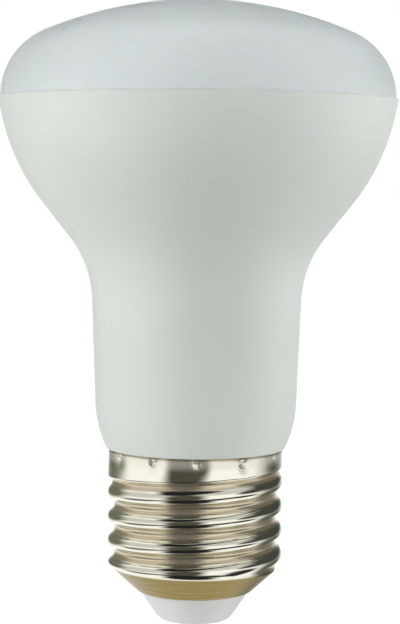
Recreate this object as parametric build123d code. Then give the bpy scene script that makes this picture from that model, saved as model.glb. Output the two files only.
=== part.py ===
from build123d import *
import math
import os

# A reflector bulb with an E27 screw cap, standing cap down on its centre contact.
# Millimetres, +Z up along the bulb's axis, origin at the tip of the centre contact.

# Screw cap, a pressed metal sheet
cap_height = 26.2
thread_major_diameter = 26.3
thread_depth = 1.05
thread_pitch = 3.629
thread_crest_height = 10.4
sheet_thickness = 0.3
skirt_band = 0.8
cone_top_height = 8.8
cone_bottom_height = 4.6
cone_bottom_diameter = 17.2
cone_top_bend = 1.2
cone_bottom_bend = 0.8
mouth_lip_width = 1.1

# Crimp dimples that lock the cap to the housing
crimp_count = 12
crimp_drop = 0.85
crimp_depth = 0.3
crimp_punch_radius = 0.9
crimp_first_angle = 2.0

# Insulator below the cap
insulator_step = 0.35
insulator_base_diameter = 10.6
insulator_base_round = 1.8
collar_inset = 0.6
collar_rise = 0.7

# Centre contact, a nail with a broad head
contact_diameter = 5.4
contact_proud = 0.2
contact_head_thickness = 0.7
contact_edge_chamfer = 0.15
contact_shank_diameter = 1.6
contact_shank_length = 5.0

# Housing: heights run upwards from the cap's rim, corners are those before rounding
foot_overhang = 0.2
foot_round = 0.3
shoulder_height = 3.4
shoulder_radius = 16.0
neck_bottom_diameter = 29.9
neck_top_diameter = 31.7
neck_height = 27.5
throat_radius = 15.7
reflector_height = 24.8
bulge_corner_inset = 2.1
bulge_corner_drop = 9.8
bulge_radius = 31.2
seam_diameter = 59.4
seam_chamfer = 0.15

# Diffuser dome and the lip that locates it in the housing
dome_height = 14.4
dome_step = 0.35
dome_corner_radius = 10.5
lip_inset = 1.7
lip_depth = 2.0

# Clearances between pieces that fit into each other
spigot_clearance = 0.1
mouth_clearance = 0.1
shank_clearance = 0.05
lip_clearance = 0.1

# The groove's flanks rise this far past the crest so that they meet it at a clean edge
groove_overrun = 0.008

# Shares of an outline's straight run that a rounded corner may take up
shared_run = 0.5
foot_run = 0.15
seam_run = 0.9

crest_radius = thread_major_diameter / 2
cone_bottom_radius = cone_bottom_diameter / 2
cone_angle = math.atan2(crest_radius - cone_bottom_radius, cone_top_height - cone_bottom_height)
throat_corner_height = cap_height + neck_height
seam_height = throat_corner_height + reflector_height
seam_radius = seam_diameter / 2
dome_radius = seam_radius - dome_step
mouth_radius = cone_bottom_radius - mouth_lip_width
collar_top_height = cone_top_height + collar_rise


def turned(outline):
    """A solid of revolution about Z from a closed outline given as radius and height."""
    return revolve(Plane.XZ * make_face(outline), Axis.Z)


def drum(radius, bottom, top):
    """A plain cylinder between two heights."""
    return Pos(0, 0, bottom) * Cylinder(radius, top - bottom, align=(Align.CENTER, Align.CENTER, Align.MIN))


def closed_outline(points, radii):
    """A closed outline through corner points, each corner rounded by its radius."""
    curve = FilletPolyline(*points, radius=radii)
    return curve + Line(points[-1], points[0])


def fitted_radius(radius, before, corner, after, share_before, share_after):
    """The corner's radius, held back where its two runs leave no room for it."""
    back = Vector(*before) - Vector(*corner)
    ahead = Vector(*after) - Vector(*corner)
    half_turn = math.radians(180 - back.get_angle(ahead)) / 2
    room = min(share_before * back.length, share_after * ahead.length)
    return min(radius, room / math.tan(half_turn))


def groove_section(inset):
    """Points on the upper half of the rounded groove, for a surface inset from the cap's outside.

    Root and crest are equal tangent arcs, so the pitch and the depth set their radius.
    """
    full_depth = thread_depth + groove_overrun
    arc_radius = thread_pitch ** 2 / (16 * full_depth) + full_depth / 4
    flank_angle = math.asin(thread_pitch / 4 / arc_radius)
    root_radius = arc_radius + inset
    crest_arc = arc_radius - inset
    root_centre = crest_radius - thread_depth + arc_radius
    crest_centre = crest_radius + groove_overrun - arc_radius
    edge_angle = math.acos(1 - groove_overrun / 2 / crest_arc)
    middle_angle = (flank_angle + edge_angle) / 2

    def on_root_arc(angle):
        return (root_centre - root_radius * math.cos(angle), root_radius * math.sin(angle))

    def on_crest_arc(angle):
        return (crest_centre + crest_arc * math.cos(angle), thread_pitch / 2 - crest_arc * math.sin(angle))

    root = (root_centre - root_radius, 0)
    root_middle = on_root_arc(flank_angle / 2)
    flank = on_root_arc(flank_angle)
    return root, root_middle, flank, on_crest_arc(middle_angle), on_crest_arc(edge_angle)


def thread_groove(inset):
    """The helical groove from below the cone to the skirt, with a rounded end under the skirt."""
    root, root_middle, flank, crest_middle, edge = groove_section(inset)
    outside = crest_radius + thread_depth

    def mirrored(point):
        return (point[0], -point[1])

    section = make_face(
        ThreePointArc(mirrored(flank), root, flank)
        + ThreePointArc(flank, crest_middle, edge)
        + Polyline(edge, (outside, edge[1]), (outside, -edge[1]), mirrored(edge))
        + ThreePointArc(mirrored(edge), mirrored(crest_middle), mirrored(flank))
    )
    half_section = make_face(
        ThreePointArc(root, root_middle, flank)
        + ThreePointArc(flank, crest_middle, edge)
        + Polyline(edge, (outside, edge[1]), (outside, 0), root)
    )
    first_height = cone_top_height - thread_pitch
    last_height = cap_height - skirt_band - thread_pitch / 2
    groove_height = thread_crest_height - thread_pitch / 2
    first_angle = (first_height - groove_height) / thread_pitch * 360
    last_angle = (last_height - groove_height) / thread_pitch * 360
    path = Helix(thread_pitch, last_height - first_height, crest_radius)
    run = sweep(Plane.XZ * section, path=path, is_frenet=True)
    end = revolve(Plane.XZ * half_section, Axis.X, revolution_arc=-180)
    placed_run = Pos(0, 0, first_height) * Rot(0, 0, first_angle) * run
    placed_end = Pos(0, 0, last_height) * Rot(0, 0, last_angle) * end
    return [placed_run, placed_end]


def crimp_dimples(inset):
    """The ring of punch marks just below the cap's rim."""
    centre_radius = crest_radius - crimp_depth + crimp_punch_radius
    dimples = []
    for index in range(crimp_count):
        angle = crimp_first_angle + index * 360 / crimp_count
        place = Rot(0, 0, angle) * Pos(centre_radius, 0, cap_height - crimp_drop)
        dimples.append(place * Sphere(crimp_punch_radius + inset))
    return dimples


def cap_form(inset):
    """The cap's full form, inset from its outside: 0 is the outside, the sheet's thickness the inside."""
    side = crest_radius - inset
    floor_height = cone_bottom_height + inset
    floor_radius = cone_bottom_radius - inset * (1 / math.cos(cone_angle) - math.tan(cone_angle))
    cone_top = cone_top_height + inset * math.tan(cone_angle / 2)
    corners = [
        (0, cap_height),
        (0, floor_height),
        (floor_radius, floor_height),
        (side, cone_top),
        (side, cap_height),
    ]
    bends = [0, cone_bottom_bend - inset, cone_top_bend - inset]
    form = turned(closed_outline(corners, bends))
    return form - thread_groove(inset) - crimp_dimples(inset)


def make_screw_shell():
    mouth = drum(mouth_radius, 0, cap_height)
    return cap_form(0) - cap_form(sheet_thickness) - mouth


def make_housing():
    foot = (crest_radius + foot_overhang, cap_height)
    shoulder = (neck_bottom_diameter / 2, cap_height + shoulder_height)
    throat = (neck_top_diameter / 2, throat_corner_height)
    bulge = (seam_radius - bulge_corner_inset, seam_height - bulge_corner_drop)
    rim = (seam_radius, seam_height - seam_chamfer)
    socket_radius = dome_radius - lip_inset + lip_clearance
    socket_floor = seam_height - lip_depth - lip_clearance
    corners = [
        (0, cap_height),
        foot,
        shoulder,
        throat,
        bulge,
        rim,
        (seam_radius - seam_chamfer, seam_height),
        (socket_radius, seam_height),
        (socket_radius, socket_floor),
        (0, socket_floor),
    ]
    radii = [
        fitted_radius(foot_round, (0, cap_height), foot, shoulder, shared_run, foot_run),
        fitted_radius(shoulder_radius, foot, shoulder, throat, 1 - foot_run, shared_run),
        fitted_radius(throat_radius, shoulder, throat, bulge, shared_run, shared_run),
        fitted_radius(bulge_radius, throat, bulge, rim, shared_run, seam_run),
        0,
        0,
        0,
        0,
    ]
    body = turned(closed_outline(corners, radii))
    fit = sheet_thickness + spigot_clearance
    barrel = drum(crest_radius - thread_depth - fit, collar_top_height, cap_height)
    collar = drum(crest_radius - fit, cap_height - skirt_band, cap_height)
    return body + (barrel + collar - crimp_dimples(fit))


def make_diffuser():
    radius = dome_radius
    apex = seam_height + dome_height
    corner_radius = min(dome_corner_radius, seam_run * dome_height, seam_run * radius)
    reach = radius - corner_radius
    crown_radius = (reach ** 2 + dome_height ** 2 - corner_radius ** 2) / (2 * (dome_height - corner_radius))
    crown_angle = math.asin(reach / (crown_radius - corner_radius))

    def on_crown(angle):
        return (crown_radius * math.sin(angle), apex - crown_radius * (1 - math.cos(angle)))

    def on_corner(angle):
        return (reach + corner_radius * math.sin(angle), seam_height + corner_radius * math.cos(angle))

    wall_angle = math.acos(seam_chamfer / corner_radius)
    join = on_crown(crown_angle)
    wall = on_corner(wall_angle)
    lip_radius = radius - lip_inset
    lip_bottom = seam_height - lip_depth
    outline = (
        ThreePointArc((0, apex), on_crown(crown_angle / 2), join)
        + ThreePointArc(join, on_corner((crown_angle + wall_angle) / 2), wall)
        + Polyline(
            wall,
            (radius - seam_chamfer, seam_height),
            (lip_radius, seam_height),
            (lip_radius, lip_bottom),
            (0, lip_bottom),
            (0, apex),
        )
    )
    return turned(outline)


def make_insulator():
    top = (cone_bottom_radius - insulator_step, cone_bottom_height)
    base = (insulator_base_diameter / 2, contact_proud)
    neck_radius = mouth_radius - mouth_clearance
    collar_radius = cone_bottom_radius - collar_inset
    collar_bottom = cone_bottom_height + sheet_thickness + mouth_clearance
    corners = [
        (0, contact_proud),
        base,
        top,
        (neck_radius, cone_bottom_height),
        (neck_radius, collar_bottom),
        (collar_radius, collar_bottom),
        (collar_radius, collar_top_height),
        (0, collar_top_height),
    ]
    base_round = fitted_radius(insulator_base_round, corners[0], base, top, shared_run, shared_run)
    body = turned(closed_outline(corners, [base_round, 0, 0, 0, 0, 0]))
    head_seat = drum(contact_diameter / 2 + shank_clearance, 0, contact_head_thickness)
    shank_top = contact_head_thickness + contact_shank_length + shank_clearance
    shank_bore = drum(contact_shank_diameter / 2 + shank_clearance, 0, shank_top)
    return body - head_seat - shank_bore


def make_centre_contact():
    radius = contact_diameter / 2
    shank_radius = contact_shank_diameter / 2
    shank_top = contact_head_thickness + contact_shank_length
    corners = [
        (0, 0),
        (radius - contact_edge_chamfer, 0),
        (radius, contact_edge_chamfer),
        (radius, contact_head_thickness),
        (shank_radius, contact_head_thickness),
        (shank_radius, shank_top),
        (0, shank_top),
    ]
    return turned(Polyline(*corners, close=True))


os.makedirs("parts", exist_ok=True)
export_step(make_diffuser(), "parts/diffuser.step")
export_step(make_housing(), "parts/housing.step")
export_step(make_screw_shell(), "parts/screw_shell.step")
export_step(make_insulator(), "parts/insulator.step")
export_step(make_centre_contact(), "parts/centre_contact.step")
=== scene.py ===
import math
from typing import NamedTuple

import bpy
from mathutils import Matrix, Vector


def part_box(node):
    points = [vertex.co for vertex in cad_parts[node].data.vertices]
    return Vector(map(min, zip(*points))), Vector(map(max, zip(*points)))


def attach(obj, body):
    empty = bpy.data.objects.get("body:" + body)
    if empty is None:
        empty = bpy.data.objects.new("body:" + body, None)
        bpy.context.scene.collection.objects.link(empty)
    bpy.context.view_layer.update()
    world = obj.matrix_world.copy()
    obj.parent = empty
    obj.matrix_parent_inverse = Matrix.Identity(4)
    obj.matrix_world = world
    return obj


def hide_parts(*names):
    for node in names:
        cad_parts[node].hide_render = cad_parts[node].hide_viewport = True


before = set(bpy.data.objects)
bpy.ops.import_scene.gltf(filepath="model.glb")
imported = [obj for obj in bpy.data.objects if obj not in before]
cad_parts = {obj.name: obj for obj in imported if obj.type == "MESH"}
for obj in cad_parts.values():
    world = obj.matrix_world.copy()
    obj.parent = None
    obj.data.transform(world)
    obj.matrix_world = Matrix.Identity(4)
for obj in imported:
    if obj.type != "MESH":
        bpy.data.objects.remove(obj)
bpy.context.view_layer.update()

MM = 0.001

# Heights and radii that the frame gives
dome_low, dome_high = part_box("diffuser")
housing_low, housing_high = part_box("housing")
shell_low, shell_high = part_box("screw_shell")
insulator_low, insulator_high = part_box("insulator")
contact_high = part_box("centre_contact")[1]

SEAM_HEIGHT = housing_high[2]
SEAM_RADIUS = housing_high[0]
APEX_HEIGHT = dome_high[2]
LIP_BOTTOM = dome_low[2]
CAP_HEIGHT = shell_high[2]
CREST_RADIUS = shell_high[0]
CONE_BOTTOM = shell_low[2]
SPIGOT_BOTTOM = housing_low[2]
INSULATOR_BASE = insulator_low[2]
INSULATOR_TOP_RADIUS = insulator_high[0]
CONTACT_RADIUS = contact_high[0]
CONTACT_TOP = contact_high[2]

# Screw cap
PITCH = 3.629 * MM
THREAD_DEPTH = 1.05 * MM
CREST_HEIGHT_AT_X = 10.4 * MM
SKIRT_BAND = 0.8 * MM
BAND_BOTTOM = CAP_HEIGHT - SKIRT_BAND
CONE_TOP = 8.8 * MM
CONE_BOTTOM_RADIUS = 8.6 * MM
CONE_TOP_BEND = 1.2 * MM
CONE_BOTTOM_BEND = 0.8 * MM
SHEET = 0.3 * MM
MOUTH_RADIUS = 7.5 * MM
FIT = 0.1 * MM

# Thread groove where it starts on the cone
GROOVE_LEAD = 1.0 * MM
GROOVE_RUN_IN = 0.7 * MM
GROOVE_OPENING = 0.6 * MM

# Thread groove where it ends under the skirt
GROOVE_END_SHARE = 0.45
GROOVE_FADE_TURN = 1.5 * math.tau
GROOVE_END_STEEPNESS = 2.5
GROOVE_STEEPENING_TURN = math.tau / 4

# Crimp dimples in the skirt
CRIMP_COUNT = 12
CRIMP_FIRST_ANGLE = math.radians(2)
CRIMP_HEIGHT = CAP_HEIGHT - 0.85 * MM
CRIMP_DEPTH = 0.36 * MM
CRIMP_PUNCH_RADIUS = 1.0 * MM
CRIMP_DISH_DEPTH = 0.17 * MM
CRIMP_DISH_REACH = 1.5 * MM
CRIMP_BACKING = 0.08 * MM

# Housing corners before rounding
FOOT_RADIUS = CREST_RADIUS + 0.2 * MM
FOOT_ROUND = 0.3 * MM
SHOULDER_HEIGHT = CAP_HEIGHT + 3.4 * MM
SHOULDER_CORNER = 14.95 * MM
SHOULDER_ROUND = 16.0 * MM
THROAT_HEIGHT = CAP_HEIGHT + 27.5 * MM
THROAT_CORNER = 15.85 * MM
THROAT_ROUND = 15.7 * MM
BULGE_HEIGHT = SEAM_HEIGHT - 9.8 * MM
BULGE_CORNER = SEAM_RADIUS - 2.1 * MM
BULGE_ROUND = 31.2 * MM
SEAM_CHAMFER = 0.15 * MM

# Diffuser
DOME_RADIUS = SEAM_RADIUS - 0.35 * MM
DOME_CORNER_ROUND = 10.5 * MM
LIP_RADIUS = DOME_RADIUS - 1.7 * MM

# Insulator and centre contact
INSULATOR_BASE_RADIUS = 5.3 * MM
INSULATOR_BASE_ROUND = 1.8 * MM
COLLAR_RADIUS = 8.0 * MM
CONTACT_HEAD = 0.7 * MM
CONTACT_CHAMFER = 0.15 * MM
SHANK_RADIUS = 0.8 * MM
SHANK_FIT = 0.05 * MM

# How finely round pieces are divided
TURN_SEGMENTS = 256
SHELL_SEGMENTS = 384
THREAD_RING = 0.11 * MM
SMALL_ROUND = 2 * MM
ARC_STEP = math.radians(3)
CROWN_ARC_STEP = ARC_STEP / 2
SMALL_ARC_STEP = math.radians(10)
SMOOTH_ANGLE = math.radians(35)
WELD = 1e-7


class Plastic(NamedTuple):
    """A moulded plastic's colours, its specks to a metre, and its finish."""

    name: str
    colour: tuple
    cloud_colour: tuple
    speck_colour: tuple
    specks: float
    roughness: float
    specular_level: float
    skin_height: float


HOUSING_WHITE = Plastic(
    name="housing white",
    colour=(0.80, 0.85, 0.795, 1),
    cloud_colour=(0.785, 0.84, 0.785, 1),
    speck_colour=(0.52, 0.56, 0.52, 1),
    specks=240.0,
    roughness=0.48,
    specular_level=0.35,
    skin_height=0.02 * MM,
)
INSULATOR_WHITE = Plastic(
    name="insulator white",
    colour=(0.89, 0.91, 0.89, 1),
    cloud_colour=(0.875, 0.895, 0.875, 1),
    speck_colour=(0.68, 0.68, 0.66, 1),
    specks=500.0,
    roughness=0.4,
    specular_level=0.4,
    skin_height=0.02 * MM,
)
OPAL = Plastic(
    name="opal diffuser",
    colour=(0.80, 0.84, 0.835, 1),
    cloud_colour=(0.79, 0.83, 0.835, 1),
    speck_colour=(0.76, 0.795, 0.79, 1),
    specks=160.0,
    roughness=0.3,
    specular_level=0.2,
    skin_height=0.01 * MM,
)
OPAL_GLOW = (0.95, 0.985, 0.985, 1)
OPAL_GLOW_SHARE = 0.35

# Moulded surface, where the gloss change is a gain and a base
CLOUD_SCALE = 70.0
CLOUD_DETAIL = 2.0
CLOUD_LIMITS = (0.35, 0.65)
SPECK_SIZE_SCALE = 45.0
SPECK_SIZE_DETAIL = 0.0
SPECK_SIZE_GAIN = 0.10
SPECK_SIZE_CUT = 0.035
SPECK_STRENGTH = 0.5
SKIN_SCALE = 2600.0
SKIN_DETAIL = 2.0
SKIN_STRENGTH = 0.5
GLOSS_SCALE = 300.0
GLOSS_DETAIL = 2.0
GLOSS_CHANGE = (0.12, -0.06)

# Nickel plate colours
NICKEL = (0.87, 0.855, 0.75, 1)
GROOVE_NICKEL = (0.70, 0.61, 0.435, 1)
BARE_BRASS = (0.278, 0.206, 0.057, 1)
# Painted shade: a darker, brassy band at the top of the shell that stands in for the shadow under the
# housing's rim
RIM_PAINTED_SHADE = (0.34, 0.29, 0.19, 1)

# Places on the nickel plate, each from where it starts to where it is full
GROOVE_MASK = "groove"
ROOT_LIMITS = (0.62, 0.85)
CONE_LIMITS = (CONE_TOP - 0.15 * MM, CONE_TOP - 0.6 * MM)
# Where the painted shade under the housing's rim lies
RIM_SHADE_LIMITS = (CAP_HEIGHT - 0.5 * MM, CAP_HEIGHT - 0.1 * MM)
CRIMPED_LIMITS = (CAP_HEIGHT - 2.1 * MM, CAP_HEIGHT - 0.9 * MM)

# Nickel plate finish, where a pair is a gain and a base
STREAK_STRETCH = (1, 1, 30)
STREAK_SCALE = 160.0
STREAK_DETAIL = 3.0
STREAK_HEIGHT = 0.01 * MM
STREAK_STRENGTH = 0.22
GROOVE_COVER = (0.3, 0.8)
BRASS_COVER = (0.5, 0.75)
POLISH = (0.08, 0.04)
CRIMPED_DULLNESS = 0.06
ROOT_DULLNESS = 0.13
CONE_DULLNESS = 0.2
CRIMPED_FILM = 2.0
FILM_LOSS = 0.18

# Tinned contact, where the roughness is a gain and a base
TIN = (0.62, 0.62, 0.60, 1)
TIN_BLOTCH = (0.44, 0.43, 0.40, 1)
BLOTCH_SCALE = 900.0
BLOTCH_DETAIL = 3.0
TIN_ROUGHNESS = (0.25, 0.25)

# Places of a Mix node's colours among its sockets
MIX_FIRST_COLOUR = 6
MIX_SECOND_COLOUR = 7
MIX_COLOUR = 2

# Camera, measured from the photograph
IMAGE_HEIGHT_PX = 624
FOCAL_PX = 1950
SENSOR = 36.0
CAMERA_DISTANCE = 291.8 * MM
CAMERA_HEIGHT = 66.2 * MM
CAMERA_OFFSET = 0.51 * MM
CAMERA_PITCH = math.radians(3.84)
CAMERA_ROLL = math.radians(0.5)

# Floor and surrounding light
FLOOR_SIZE = 6
FLOOR_COLOUR = (0.9, 0.9, 0.9, 1)
FLOOR_WHITE = 1.12
FLOOR_WHITE_SHARE = 0.88
WHITE = (1, 1, 1, 1)
AMBIENT_SIDE = 0.48
AMBIENT_TOP = 0.10
STUDIO_WHITE = (1.08, 1.08, 1.06, 1)


class Softbox(NamedTuple):
    """A light that faces the bulb's axis, in degrees, metres and watts. Azimuth 0 is the camera's
    side, and to the right is positive."""

    name: str
    azimuth: float
    distance: float
    height: float
    aim_height: float
    size: tuple
    power: float
    spread: float = 180


SOFTBOXES = [
    Softbox("left softbox", -70, 0.6, 0.13, 0.06, (0.45, 0.5), 2.6),
    Softbox("right softbox", 93, 0.6, 0.05, 0.045, (0.45, 0.5), 3.14),
    Softbox("front fill", 10, 0.8, 0.2, 0.06, (0.3, 0.3), 0.34),
    Softbox("back fill", 175, 0.8, 0.12, 0.05, (0.5, 0.4), 0.6),
    Softbox("low fill", 2, 0.055, 0.004, 0.004, (0.06, 0.006), 0.0023),
    Softbox("gridded top light", 8, 0.25, 0.30, 0.070, (0.05, 0.016), 0.0019, 7),
]


class Panel(NamedTuple):
    """An oval that bright metal mirrors, in degrees as seen from the bulb. Azimuth 0 is the camera's
    side, to the right is positive, and the fade is the share of the oval that its edge takes."""

    azimuth: float
    elevation: float
    half_width: float
    half_height: float
    fade: float
    shade: tuple


STUDIO_PANELS = [
    Panel(180, 25, 60, 30, 0.5, (0.15, 0.155, 0.16, 1)),
    Panel(-80, 25, 60, 30, 0.4, (0.66, 0.65, 0.62, 1)),
    Panel(48, 40, 48, 26, 0.4, (0.64, 0.63, 0.62, 1)),
    Panel(-78, -25, 50, 16, 0.5, (0.20, 0.195, 0.18, 1)),
    Panel(-138, 5, 50, 33, 0.6, (0.16, 0.17, 0.12, 1)),
    Panel(136, -26, 44, 26, 0.6, (0.13, 0.13, 0.11, 1)),
    Panel(122, 20, 60, 46, 0.5, (0.06, 0.065, 0.055, 1)),
    Panel(30, -30, 32, 17, 0.5, (0.03, 0.025, 0.03, 1)),
    Panel(66, -24, 36, 15, 0.5, (0.04, 0.03, 0.04, 1)),
    Panel(80, 11, 32, 17, 0.5, (0.06, 0.06, 0.06, 1)),
    Panel(62, 71, 48, 13, 0.5, (0.06, 0.05, 0.05, 1)),
    Panel(-14, 2, 37, 56, 0.5, (0.080, 0.077, 0.060, 1)),
    Panel(-28, 64, 34, 44, 0.4, (0.018, 0.018, 0.018, 1)),
    Panel(-9, -32, 56, 15, 0.5, (0.02, 0.02, 0.02, 1)),
    Panel(-9, -56, 34, 40, 0.4, (0.018, 0.018, 0.018, 1)),
]


# Modelling helpers


def arc_points(centre, radius, start, end, step):
    """Points on an arc in the radius and height plane, both ends included."""
    count = max(1, math.ceil(abs(end - start) / step))
    points = []
    for index in range(count + 1):
        angle = start + (end - start) * index / count
        points.append((centre[0] + radius * math.cos(angle), centre[1] + radius * math.sin(angle)))
    return points


def rounded(corners):
    """An outline through corners (radius, height) or (radius, height, rounding)."""
    outline = []
    for index, corner in enumerate(corners):
        if len(corner) == 2:
            outline.append(corner)
            continue
        rounding = corner[2]
        here = Vector(corner[:2])
        back = (Vector(corners[index - 1][:2]) - here).normalized()
        ahead = (Vector(corners[index + 1][:2]) - here).normalized()
        half_opening = back.angle(ahead) / 2
        centre = here + (back + ahead).normalized() * rounding / math.sin(half_opening)
        reach = rounding / math.tan(half_opening)
        first = here + back * reach - centre
        last = here + ahead * reach - centre
        start = math.atan2(first.y, first.x)
        turn = math.remainder(math.atan2(last.y, last.x) - start, math.tau)
        step = ARC_STEP if rounding > SMALL_ROUND else SMALL_ARC_STEP
        outline += arc_points(centre, rounding, start, start + turn, step)
    return outline


def divided(outline, spacing):
    """The same outline with its long runs divided evenly."""
    points = [outline[0]]
    for before, after in zip(outline, outline[1:]):
        count = max(1, math.ceil(math.dist(before, after) / spacing))
        for index in range(1, count + 1):
            share = index / count
            points.append(tuple(a + (b - a) * share for a, b in zip(before, after)))
    return points


def clamped(value):
    """The value, kept between 0 and 1."""
    return min(1.0, max(0.0, value))


def deselect_all():
    """Leaves nothing selected, so that the next operators act only on what is added."""
    bpy.ops.object.select_all(action="DESELECT")


def turned(name, outline, segments):
    """Draws an outline point by point and turns it about the bulb's axis into a closed piece."""
    deselect_all()
    bpy.ops.mesh.primitive_plane_add(size=MM)
    piece = bpy.context.object
    piece.name = name
    piece.data.name = name
    bpy.ops.object.mode_set(mode="EDIT")
    bpy.ops.mesh.merge(type="CENTER")
    bpy.ops.transform.translate(value=(outline[0][0], 0, outline[0][1]))
    for before, after in zip(outline, outline[1:]):
        step = (after[0] - before[0], 0, after[1] - before[1])
        bpy.ops.mesh.extrude_vertices_move(TRANSFORM_OT_translate={"value": step})
    bpy.ops.object.mode_set(mode="OBJECT")
    turn = piece.modifiers.new("turn", "SCREW")
    turn.steps = segments
    turn.render_steps = segments
    turn.use_merge_vertices = True
    turn.merge_threshold = WELD
    bpy.ops.object.modifier_apply(modifier=turn.name)
    bpy.ops.object.mode_set(mode="EDIT")
    bpy.ops.mesh.select_all(action="SELECT")
    bpy.ops.mesh.remove_doubles(threshold=WELD)
    bpy.ops.mesh.normals_make_consistent(inside=False)
    bpy.ops.object.mode_set(mode="OBJECT")
    bpy.ops.object.shade_smooth_by_angle(angle=SMOOTH_ANGLE)
    return piece


def stand_for(piece, node, material):
    """Puts a finished piece in a node's place and material."""
    piece.data.materials.clear()
    piece.data.materials.append(material)
    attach(piece, "root")
    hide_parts(node)


# Shapes


def diffuser_outline():
    """From the crown over the rounded edge to the seam, and the lip that sits in the housing."""
    height = APEX_HEIGHT - SEAM_HEIGHT
    reach = DOME_RADIUS - DOME_CORNER_ROUND
    rise = height - DOME_CORNER_ROUND
    crown = (reach ** 2 + height ** 2 - DOME_CORNER_ROUND ** 2) / (2 * rise)
    join_angle = math.acos(reach / (crown - DOME_CORNER_ROUND))
    wall_angle = math.asin(SEAM_CHAMFER / DOME_CORNER_ROUND)
    crown_centre = (0, APEX_HEIGHT - crown)
    corner_centre = (reach, SEAM_HEIGHT)
    crown_arc = arc_points(crown_centre, crown, math.pi / 2, join_angle, CROWN_ARC_STEP)
    corner_arc = arc_points(corner_centre, DOME_CORNER_ROUND, join_angle, wall_angle, ARC_STEP)
    lip = [
        (DOME_RADIUS - SEAM_CHAMFER, SEAM_HEIGHT),
        (LIP_RADIUS, SEAM_HEIGHT),
        (LIP_RADIUS, LIP_BOTTOM),
        (0, LIP_BOTTOM),
    ]
    return crown_arc + corner_arc[1:] + lip


def housing_outline():
    """From the spigot in the cap up the neck and flare to the seam, and the socket for the lip."""
    spigot_radius = CREST_RADIUS - SHEET - FIT
    barrel_radius = spigot_radius - THREAD_DEPTH
    socket_radius = LIP_RADIUS + FIT
    socket_floor = LIP_BOTTOM - FIT
    return rounded([
        (0, SPIGOT_BOTTOM),
        (barrel_radius, SPIGOT_BOTTOM),
        (barrel_radius, BAND_BOTTOM),
        (spigot_radius, BAND_BOTTOM),
        (spigot_radius, CAP_HEIGHT),
        (FOOT_RADIUS, CAP_HEIGHT, FOOT_ROUND),
        (SHOULDER_CORNER, SHOULDER_HEIGHT, SHOULDER_ROUND),
        (THROAT_CORNER, THROAT_HEIGHT, THROAT_ROUND),
        (BULGE_CORNER, BULGE_HEIGHT, BULGE_ROUND),
        (SEAM_RADIUS, SEAM_HEIGHT - SEAM_CHAMFER),
        (SEAM_RADIUS - SEAM_CHAMFER, SEAM_HEIGHT),
        (socket_radius, SEAM_HEIGHT),
        (socket_radius, socket_floor),
        (0, socket_floor),
    ])


def insulator_outline():
    """From the contact's bore round the base to the cap's mouth, and the collar inside the cap."""
    head_seat = CONTACT_RADIUS + SHANK_FIT
    shank_bore = SHANK_RADIUS + SHANK_FIT
    neck_radius = MOUTH_RADIUS - FIT
    collar_bottom = CONE_BOTTOM + SHEET + FIT
    return rounded([
        (0, CONTACT_TOP + SHANK_FIT),
        (shank_bore, CONTACT_TOP + SHANK_FIT),
        (shank_bore, CONTACT_HEAD),
        (head_seat, CONTACT_HEAD),
        (head_seat, INSULATOR_BASE),
        (INSULATOR_BASE_RADIUS, INSULATOR_BASE, INSULATOR_BASE_ROUND),
        (INSULATOR_TOP_RADIUS, CONE_BOTTOM),
        (neck_radius, CONE_BOTTOM),
        (neck_radius, collar_bottom),
        (COLLAR_RADIUS, collar_bottom),
        (COLLAR_RADIUS, SPIGOT_BOTTOM),
        (0, SPIGOT_BOTTOM),
    ])


def contact_outline():
    """A flat nail head with a chamfered edge, and its shank."""
    return [
        (0, 0),
        (CONTACT_RADIUS - CONTACT_CHAMFER, 0),
        (CONTACT_RADIUS, CONTACT_CHAMFER),
        (CONTACT_RADIUS, CONTACT_HEAD),
        (SHANK_RADIUS, CONTACT_HEAD),
        (SHANK_RADIUS, CONTACT_TOP),
        (0, CONTACT_TOP),
    ]


def shell_outline():
    """Outside from the rim down to the mouth, then the inside back up to the rim."""
    outside = divided(rounded([
        (CREST_RADIUS, CAP_HEIGHT),
        (CREST_RADIUS, CONE_TOP, CONE_TOP_BEND),
        (CONE_BOTTOM_RADIUS, CONE_BOTTOM, CONE_BOTTOM_BEND),
        (MOUTH_RADIUS, CONE_BOTTOM),
    ]), THREAD_RING)
    inner_radius = CREST_RADIUS - THREAD_DEPTH - SHEET
    floor_radius = CONE_BOTTOM_RADIUS - SHEET
    skirt_inside = CREST_RADIUS - SHEET - CRIMP_BACKING
    inside = [
        (MOUTH_RADIUS, CONE_BOTTOM + SHEET),
        (floor_radius, CONE_BOTTOM + SHEET),
        (inner_radius, CONE_TOP),
        (inner_radius, BAND_BOTTOM - PITCH),
        (skirt_inside, BAND_BOTTOM),
        (skirt_inside, CAP_HEIGHT),
        (CREST_RADIUS, CAP_HEIGHT),
    ]
    return outside + inside


def groove_depth(distance):
    """The groove's depth at a distance from its middle: equal tangent arcs at root and crest."""
    arc = PITCH ** 2 / (16 * THREAD_DEPTH) + THREAD_DEPTH / 4
    if distance < PITCH / 4:
        return THREAD_DEPTH - arc + math.sqrt(arc ** 2 - distance ** 2)
    if distance < PITCH / 2:
        return arc - math.sqrt(arc ** 2 - (PITCH / 2 - distance) ** 2)
    return 0.0


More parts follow.
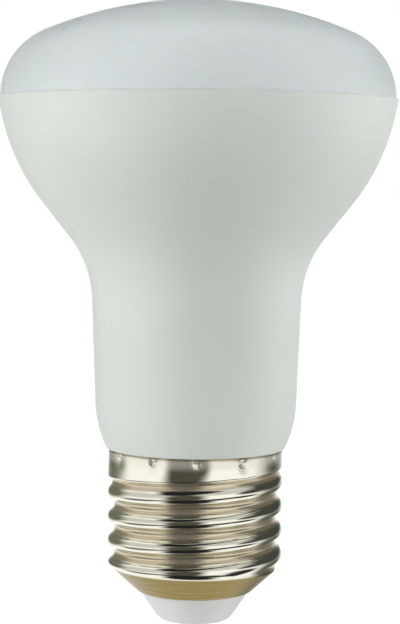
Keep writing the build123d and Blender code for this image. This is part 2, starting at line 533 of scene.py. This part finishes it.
def thread_cut(angle, height):
    """The full groove's depth at a place on the cap, and the share of it that is pressed in there."""
    last_height = BAND_BOTTOM - PITCH / 2
    groove_at_x = CREST_HEIGHT_AT_X - PITCH / 2
    last_angle = (last_height - groove_at_x) / PITCH * math.tau
    deepest = 0.0
    share = 1.0
    turn = round((height - groove_at_x) / PITCH - angle / math.tau)
    for candidate in (turn - 1, turn, turn + 1):
        run_angle = angle + candidate * math.tau
        past_end = max(0.0, run_angle - last_angle) * CREST_RADIUS
        middle = groove_at_x + min(run_angle, last_angle) / math.tau * PITCH
        run_in = clamped((middle - CONE_TOP + GROOVE_LEAD) / GROOVE_RUN_IN)
        rise = height - middle
        if rise > 0:
            under_skirt = clamped((run_angle - last_angle + math.tau) / GROOVE_STEEPENING_TURN)
            rise *= 1 + (GROOVE_END_STEEPNESS - 1) * under_skirt
        else:
            rise *= clamped((middle - CONE_TOP) / GROOVE_OPENING)
        depth = groove_depth(math.hypot(past_end, rise)) * run_in
        if depth > deepest:
            deepest = depth
            from_end = clamped((last_angle - run_angle) / GROOVE_FADE_TURN)
            share = GROOVE_END_SHARE + (1 - GROOVE_END_SHARE) * from_end
    return deepest, share


def crimp_radius(angle, height):
    """The skirt's radius where a round punch has pressed it in."""
    centre = CREST_RADIUS - CRIMP_DEPTH + CRIMP_PUNCH_RADIUS
    spacing = math.tau / CRIMP_COUNT
    offset = math.remainder(angle - CRIMP_FIRST_ANGLE, spacing)
    rise = height - CRIMP_HEIGHT
    across = centre * math.sin(offset)
    dish = CRIMP_DISH_DEPTH * math.exp(-(across ** 2 + rise ** 2) / CRIMP_DISH_REACH ** 2)
    inside = CRIMP_PUNCH_RADIUS ** 2 - rise ** 2 - across ** 2
    if inside <= 0:
        return CREST_RADIUS - dish
    return min(CREST_RADIUS - dish, centre * math.cos(offset) - math.sqrt(inside))


def press_thread(piece):
    """Presses the thread and the crimp dimples into the cap's plain outside, and masks the groove."""
    inner_limit = CREST_RADIUS - THREAD_DEPTH - SHEET / 2
    skirt_limit = CREST_RADIUS - SHEET / 2
    groove = piece.data.attributes.new(GROOVE_MASK, "FLOAT", "POINT")
    for vertex in piece.data.vertices:
        x, y, height = vertex.co
        radius = math.hypot(x, y)
        on_skirt_inside = height > BAND_BOTTOM - PITCH and radius < skirt_limit
        if radius < inner_limit or on_skirt_inside:
            continue
        angle = math.atan2(y, x)
        depth, share = thread_cut(angle, height)
        thread_radius = CREST_RADIUS - depth * share
        if thread_radius < radius:
            groove.data[vertex.index].value = depth / THREAD_DEPTH
        pressed = min(radius, thread_radius, crimp_radius(angle, height))
        vertex.co = (x * pressed / radius, y * pressed / radius, height)
    piece.data.update()


# Node helpers


def add_node(tree, kind, **settings):
    """A new node with its properties set by name."""
    node = tree.nodes.new(kind)
    for name, value in settings.items():
        setattr(node, name, value)
    return node


def feed(tree, socket, value):
    """Links an output to an input, or sets the input to a plain value."""
    if isinstance(value, bpy.types.NodeSocket):
        tree.links.new(value, socket)
    else:
        socket.default_value = value


def calculate(tree, operation, *values):
    """The output of a Math node."""
    node = add_node(tree, "ShaderNodeMath", operation=operation)
    for socket, value in zip(node.inputs, values):
        feed(tree, socket, value)
    return node.outputs["Value"]


def ramp_between(tree, value, start, end):
    """0 where the value is at its start, 1 at its end, smooth between them."""
    node = add_node(tree, "ShaderNodeMapRange", interpolation_type="SMOOTHSTEP")
    feed(tree, node.inputs["Value"], value)
    node.inputs["From Min"].default_value = start
    node.inputs["From Max"].default_value = end
    return node.outputs["Result"]


def blend_colours(tree, share, first, second):
    """The first colour where the share is 0, the second where it is 1."""
    node = add_node(tree, "ShaderNodeMix", data_type="RGBA")
    feed(tree, node.inputs["Factor"], share)
    feed(tree, node.inputs[MIX_FIRST_COLOUR], first)
    feed(tree, node.inputs[MIX_SECOND_COLOUR], second)
    return node.outputs[MIX_COLOUR]


def blend_shaders(tree, share, first, second):
    """The first shader where the share is 0, the second where it is 1."""
    node = add_node(tree, "ShaderNodeMixShader")
    for socket, value in zip(node.inputs, (share, first, second)):
        feed(tree, socket, value)
    return node.outputs["Shader"]


def noise(tree, coordinates, scale, detail):
    """The value of a Noise Texture node."""
    node = add_node(tree, "ShaderNodeTexNoise")
    feed(tree, node.inputs["Vector"], coordinates)
    node.inputs["Scale"].default_value = scale
    node.inputs["Detail"].default_value = detail
    return node.outputs["Fac"]


def bump_normal(tree, height, distance, strength):
    """The normal of a surface that a height raises."""
    node = add_node(tree, "ShaderNodeBump")
    feed(tree, node.inputs["Height"], height)
    node.inputs["Distance"].default_value = distance
    node.inputs["Strength"].default_value = strength
    return node.outputs["Normal"]


def object_place(tree):
    """A piece's Object coordinates."""
    return add_node(tree, "ShaderNodeTexCoord").outputs["Object"]


def split(tree, vector):
    """A vector's X, Y and Z."""
    node = add_node(tree, "ShaderNodeSeparateXYZ")
    feed(tree, node.inputs["Vector"], vector)
    return node.outputs


def new_material(name):
    """A new material, with its node tree and its shader."""
    material = bpy.data.materials.new(name)
    material.use_nodes = True
    tree = material.node_tree
    return material, tree, tree.nodes["Principled BSDF"]


def show(tree, shader):
    """Makes a shader the one that a material shows."""
    feed(tree, tree.nodes["Material Output"].inputs["Surface"], shader)


# Materials


def moulded_surface_group():
    """Moulded plastic: soft cloudiness of the colour, scattered pin-prick specks and a fine skin."""
    group = bpy.data.node_groups.new("moulded surface", "ShaderNodeTree")
    interface = group.interface
    interface.new_socket("Colour", in_out="INPUT", socket_type="NodeSocketColor")
    interface.new_socket("Cloud Colour", in_out="INPUT", socket_type="NodeSocketColor")
    interface.new_socket("Speck Colour", in_out="INPUT", socket_type="NodeSocketColor")
    interface.new_socket("Specks", in_out="INPUT", socket_type="NodeSocketFloat")
    interface.new_socket("Roughness", in_out="INPUT", socket_type="NodeSocketFloat")
    interface.new_socket("Colour", in_out="OUTPUT", socket_type="NodeSocketColor")
    interface.new_socket("Roughness", in_out="OUTPUT", socket_type="NodeSocketFloat")
    interface.new_socket("Skin", in_out="OUTPUT", socket_type="NodeSocketFloat")
    given = add_node(group, "NodeGroupInput")
    result = add_node(group, "NodeGroupOutput")
    place = object_place(group)

    cloud = ramp_between(group, noise(group, place, CLOUD_SCALE, CLOUD_DETAIL), *CLOUD_LIMITS)
    clouded = blend_colours(group, cloud, given.outputs["Colour"], given.outputs["Cloud Colour"])

    cells = add_node(group, "ShaderNodeTexVoronoi")
    feed(group, cells.inputs["Vector"], place)
    feed(group, cells.inputs["Scale"], given.outputs["Specks"])
    varied = noise(group, place, SPECK_SIZE_SCALE, SPECK_SIZE_DETAIL)
    widened = calculate(group, "MULTIPLY", varied, SPECK_SIZE_GAIN)
    size = calculate(group, "SUBTRACT", widened, SPECK_SIZE_CUT)
    speck = calculate(group, "LESS_THAN", cells.outputs["Distance"], size)
    faint = calculate(group, "MULTIPLY", speck, SPECK_STRENGTH)
    specked = blend_colours(group, faint, clouded, given.outputs["Speck Colour"])

    gloss = noise(group, place, GLOSS_SCALE, GLOSS_DETAIL)
    uneven = calculate(group, "MULTIPLY_ADD", gloss, *GLOSS_CHANGE)
    roughness = calculate(group, "ADD", given.outputs["Roughness"], uneven)
    feed(group, result.inputs["Colour"], specked)
    feed(group, result.inputs["Roughness"], roughness)
    feed(group, result.inputs["Skin"], noise(group, place, SKIN_SCALE, SKIN_DETAIL))
    return group


def moulded_plastic(group, plastic):
    """A plastic with the shared moulded surface."""
    material, tree, shader = new_material(plastic.name)
    surface = add_node(tree, "ShaderNodeGroup", node_tree=group)
    surface.inputs["Colour"].default_value = plastic.colour
    surface.inputs["Cloud Colour"].default_value = plastic.cloud_colour
    surface.inputs["Speck Colour"].default_value = plastic.speck_colour
    surface.inputs["Specks"].default_value = plastic.specks
    surface.inputs["Roughness"].default_value = plastic.roughness
    normal = bump_normal(tree, surface.outputs["Skin"], plastic.skin_height, SKIN_STRENGTH)
    feed(tree, shader.inputs["Base Color"], surface.outputs["Colour"])
    feed(tree, shader.inputs["Roughness"], surface.outputs["Roughness"])
    feed(tree, shader.inputs["Normal"], normal)
    shader.inputs["Specular IOR Level"].default_value = plastic.specular_level
    return material


def opal_plastic(group):
    """A diffuser that reflects part of the light and passes the rest on, so it looks evenly pale."""
    material = moulded_plastic(group, OPAL)
    tree = material.node_tree
    reflected = tree.nodes["Principled BSDF"].outputs["BSDF"]
    glow = add_node(tree, "ShaderNodeBsdfTranslucent")
    glow.inputs["Color"].default_value = OPAL_GLOW
    show(tree, blend_shaders(tree, OPAL_GLOW_SHARE, reflected, glow.outputs["BSDF"]))
    return material


def nickel_plate():
    """Nickel over brass: bright on the crests, warmer in the grooves, with bare brass on the cone and
    a painted shade along the top edge under the housing's rim.
    """
    material, tree, shader = new_material("nickel plate")
    place = object_place(tree)
    height = split(tree, place)["Z"]
    pressed = add_node(tree, "ShaderNodeAttribute", attribute_name=GROOVE_MASK).outputs["Fac"]
    root = ramp_between(tree, pressed, *ROOT_LIMITS)
    cone = ramp_between(tree, height, *CONE_LIMITS)
    rim = ramp_between(tree, height, *RIM_SHADE_LIMITS)
    crimped = ramp_between(tree, height, *CRIMPED_LIMITS)
    stretch = add_node(tree, "ShaderNodeMapping")
    stretch.inputs["Scale"].default_value = STREAK_STRETCH
    feed(tree, stretch.inputs["Vector"], place)
    streaks = noise(tree, stretch.outputs["Vector"], STREAK_SCALE, STREAK_DETAIL)

    groove_cover = calculate(tree, "MULTIPLY_ADD", streaks, *GROOVE_COVER)
    brass_cover = calculate(tree, "MULTIPLY_ADD", streaks, *BRASS_COVER)
    groove_share = calculate(tree, "MULTIPLY", root, groove_cover)
    brass_share = calculate(tree, "MULTIPLY", cone, brass_cover)
    warmed = blend_colours(tree, groove_share, NICKEL, GROOVE_NICKEL)
    bare = blend_colours(tree, brass_share, warmed, BARE_BRASS)
    # The rim colour is painted shade, the shadow that the housing's rim casts on the shell's top edge
    feed(tree, shader.inputs["Base Color"], blend_colours(tree, rim, bare, RIM_PAINTED_SHADE))

    polish = calculate(tree, "MULTIPLY_ADD", streaks, *POLISH)
    satin = calculate(tree, "MULTIPLY_ADD", crimped, CRIMPED_DULLNESS, polish)
    dulled = calculate(tree, "MULTIPLY_ADD", root, ROOT_DULLNESS, satin)
    roughness = calculate(tree, "MULTIPLY_ADD", cone, CONE_DULLNESS, dulled)
    feed(tree, shader.inputs["Roughness"], roughness)

    film = calculate(tree, "MULTIPLY_ADD", crimped, CRIMPED_FILM, root)
    lost = calculate(tree, "MULTIPLY", film, -FILM_LOSS)
    feed(tree, shader.inputs["Metallic"], calculate(tree, "ADD", lost, 1.0))

    normal = bump_normal(tree, streaks, STREAK_HEIGHT, STREAK_STRENGTH)
    feed(tree, shader.inputs["Normal"], normal)
    return material


def contact_metal():
    """Tinned metal with a dull, slightly blotched solder finish."""
    material, tree, shader = new_material("tinned contact")
    blotches = noise(tree, object_place(tree), BLOTCH_SCALE, BLOTCH_DETAIL)
    roughness = calculate(tree, "MULTIPLY_ADD", blotches, *TIN_ROUGHNESS)
    feed(tree, shader.inputs["Base Color"], blend_colours(tree, blotches, TIN, TIN_BLOTCH))
    feed(tree, shader.inputs["Roughness"], roughness)
    shader.inputs["Metallic"].default_value = 1.0
    return material


# Stage


def seen_directly(tree):
    """1 for rays from the camera or through glass, 0 for the light that reaches the object."""
    path = add_node(tree, "ShaderNodeLightPath").outputs
    return calculate(tree, "MAXIMUM", path["Is Camera Ray"], path["Is Transmission Ray"])


def make_floor():
    """A matt floor that keeps the bulb's shadow and is nearly white to the camera."""
    deselect_all()
    bpy.ops.mesh.primitive_plane_add(size=FLOOR_SIZE)
    floor = bpy.context.object
    floor.name = "floor"
    floor.visible_glossy = False
    material, tree, shader = new_material("white floor")
    shader.inputs["Base Color"].default_value = FLOOR_COLOUR
    shader.inputs["Roughness"].default_value = 1.0
    shader.inputs["Specular IOR Level"].default_value = 0.0
    white = add_node(tree, "ShaderNodeEmission")
    white.inputs["Strength"].default_value = FLOOR_WHITE
    share = calculate(tree, "MULTIPLY", seen_directly(tree), FLOOR_WHITE_SHARE)
    show(tree, blend_shaders(tree, share, shader.outputs["BSDF"], white.outputs["Emission"]))
    floor.data.materials.append(material)


def panel_mask(tree, direction, panel):
    """1 over the middle of a studio panel, fading to 0 at its oval edge."""
    azimuth = math.radians(panel.azimuth)
    elevation = math.radians(panel.elevation)
    level = math.cos(elevation)
    ahead = Vector((math.sin(azimuth) * level, -math.cos(azimuth) * level, math.sin(elevation)))
    width = math.sin(math.radians(panel.half_width))
    height = math.sin(math.radians(panel.half_height))
    on_panel = add_node(tree, "ShaderNodeMapping", vector_type="TEXTURE")
    feed(tree, on_panel.inputs["Vector"], direction)
    on_panel.inputs["Rotation"].default_value = ahead.to_track_quat("Z", "Y").to_euler()
    on_panel.inputs["Scale"].default_value = (width, height, 1)
    across, along, facing = split(tree, on_panel.outputs["Vector"])
    along_squared = calculate(tree, "MULTIPLY", along, along)
    squares = calculate(tree, "MULTIPLY_ADD", across, across, along_squared)
    inside = ramp_between(tree, calculate(tree, "SQRT", squares), 1.0, 1.0 - panel.fade)
    return calculate(tree, "MULTIPLY", inside, calculate(tree, "GREATER_THAN", facing, 0.0))


def studio_surroundings(tree, direction):
    """What bright metal mirrors: a white studio with dark, grey and bright panels around the bulb."""
    colour = STUDIO_WHITE
    for panel in STUDIO_PANELS:
        colour = blend_colours(tree, panel_mask(tree, direction, panel), colour, panel.shade)
    return colour


def background(tree, colour, strength):
    """The output of a Background node."""
    node = add_node(tree, "ShaderNodeBackground")
    feed(tree, node.inputs["Color"], colour)
    feed(tree, node.inputs["Strength"], strength)
    return node.outputs["Background"]


def make_world():
    """White to the camera, the studio to mirrors, and a soft light that is weaker from above."""
    world = bpy.data.worlds.new("studio")
    bpy.context.scene.world = world
    world.use_nodes = True
    tree = world.node_tree
    tree.nodes.clear()
    direction = add_node(tree, "ShaderNodeTexCoord").outputs["Generated"]
    level = add_node(tree, "ShaderNodeMapRange")
    feed(tree, level.inputs["Value"], split(tree, direction)["Z"])
    level.inputs["To Min"].default_value = AMBIENT_SIDE
    level.inputs["To Max"].default_value = AMBIENT_TOP
    ambient = background(tree, WHITE, level.outputs["Result"])
    mirrored = background(tree, studio_surroundings(tree, direction), 1.0)
    mirror_ray = add_node(tree, "ShaderNodeLightPath").outputs["Is Glossy Ray"]
    lit_or_mirrored = blend_shaders(tree, mirror_ray, ambient, mirrored)
    white = background(tree, WHITE, 1.0)
    backdrop = blend_shaders(tree, seen_directly(tree), lit_or_mirrored, white)
    output = add_node(tree, "ShaderNodeOutputWorld")
    feed(tree, output.inputs["Surface"], backdrop)


def add_softbox(softbox):
    """Places one of the lights, which neither the camera nor the metal sees."""
    light = bpy.data.lights.new(softbox.name, "AREA")
    light.shape = "RECTANGLE"
    light.size, light.size_y = softbox.size
    light.energy = softbox.power
    light.spread = math.radians(softbox.spread)
    lamp = bpy.data.objects.new(softbox.name, light)
    bpy.context.scene.collection.objects.link(lamp)
    angle = math.radians(softbox.azimuth)
    across = softbox.distance * math.sin(angle)
    ahead = softbox.distance * math.cos(angle)
    lamp.location = (across, -ahead, softbox.height)
    aim = Vector((0, 0, softbox.aim_height)) - lamp.location
    lamp.rotation_euler = aim.to_track_quat("-Z", "Y").to_euler()
    lamp.visible_camera = False
    lamp.visible_glossy = False


def add_camera():
    """The photograph's camera, in front of the bulb, tilted down and slightly rolled."""
    camera = bpy.data.cameras.new("camera")
    camera.sensor_width = SENSOR
    camera.lens = FOCAL_PX * SENSOR / IMAGE_HEIGHT_PX
    viewer = bpy.data.objects.new("camera", camera)
    bpy.context.scene.collection.objects.link(viewer)
    viewer.location = (CAMERA_OFFSET, -CAMERA_DISTANCE, CAMERA_HEIGHT)
    tilt = Matrix.Rotation(math.pi / 2 - CAMERA_PITCH, 3, "X")
    roll = Matrix.Rotation(CAMERA_ROLL, 3, "Z")
    viewer.rotation_euler = (tilt @ roll).to_euler()
    bpy.context.scene.camera = viewer


# The bulb and its studio

diffuser = turned("opal_dome", diffuser_outline(), TURN_SEGMENTS)
housing = turned("white_housing", housing_outline(), TURN_SEGMENTS)
insulator = turned("white_insulator", insulator_outline(), TURN_SEGMENTS)
contact = turned("contact_nail", contact_outline(), TURN_SEGMENTS)
shell = turned("threaded_shell", shell_outline(), SHELL_SEGMENTS)
press_thread(shell)

moulded_surface = moulded_surface_group()
housing_white = moulded_plastic(moulded_surface, HOUSING_WHITE)
insulator_white = moulded_plastic(moulded_surface, INSULATOR_WHITE)
stand_for(diffuser, "diffuser", opal_plastic(moulded_surface))
stand_for(housing, "housing", housing_white)
stand_for(insulator, "insulator", insulator_white)
stand_for(contact, "centre_contact", contact_metal())
stand_for(shell, "screw_shell", nickel_plate())

make_floor()
make_world()
for softbox in SOFTBOXES:
    add_softbox(softbox)
add_camera()
bpy.context.scene.view_settings.view_transform = "Standard"
